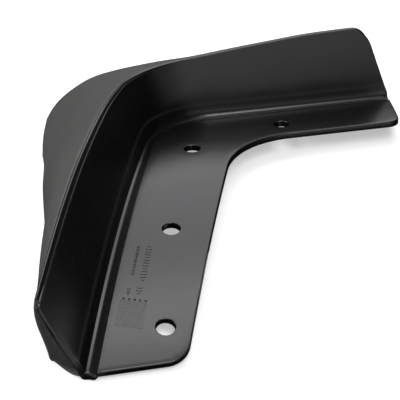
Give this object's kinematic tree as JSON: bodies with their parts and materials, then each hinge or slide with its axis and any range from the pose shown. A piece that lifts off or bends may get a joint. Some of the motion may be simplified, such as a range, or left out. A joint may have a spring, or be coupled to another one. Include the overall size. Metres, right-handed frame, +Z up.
{
  "type": "mud flap",
  "caption": "Moulded wheel-arch splash guard: curved bolt-on flange, leaning wall and ribbed hollow outer skin that wraps the body corner.",
  "frame": {"origin": "middle of the footprint's bounding box, on the surface the guard rests on", "axes": "+X along the short arm towards its free end, -Y along the long arm towards its near tip, +Z up, away from the wheel"},
  "size_m": [0.2302, 0.2536, 0.0578],
  "materials": {
    "smooth_plastic": "satin moulded black thermoplastic",
    "grained_plastic": "fine spark-eroded grain, matt black thermoplastic"
  },
  "bodies": {
    "root": {"flange_long_arm": "smooth_plastic", "flange_corner": "smooth_plastic", "flange_short_arm": "smooth_plastic", "channel_long_arm": "smooth_plastic", "channel_bend": "smooth_plastic", "channel_short_arm": "smooth_plastic", "wall_long_arm": "smooth_plastic", "wall_bend": "smooth_plastic", "wall_short_arm": "smooth_plastic", "hem_long_arm": "smooth_plastic", "hem_bend": "smooth_plastic", "hem_short_arm": "smooth_plastic", "skin_long_arm": "grained_plastic", "skin_bend": "grained_plastic", "skin_short_arm": "grained_plastic", "near_end_cap": "grained_plastic", "rib_1": "smooth_plastic", "rib_2": "smooth_plastic", "rib_3": "smooth_plastic", "rib_4": "smooth_plastic", "rib_5": "smooth_plastic", "rib_6": "smooth_plastic", "rib_7": "smooth_plastic"}
  },
  "joints": []
}
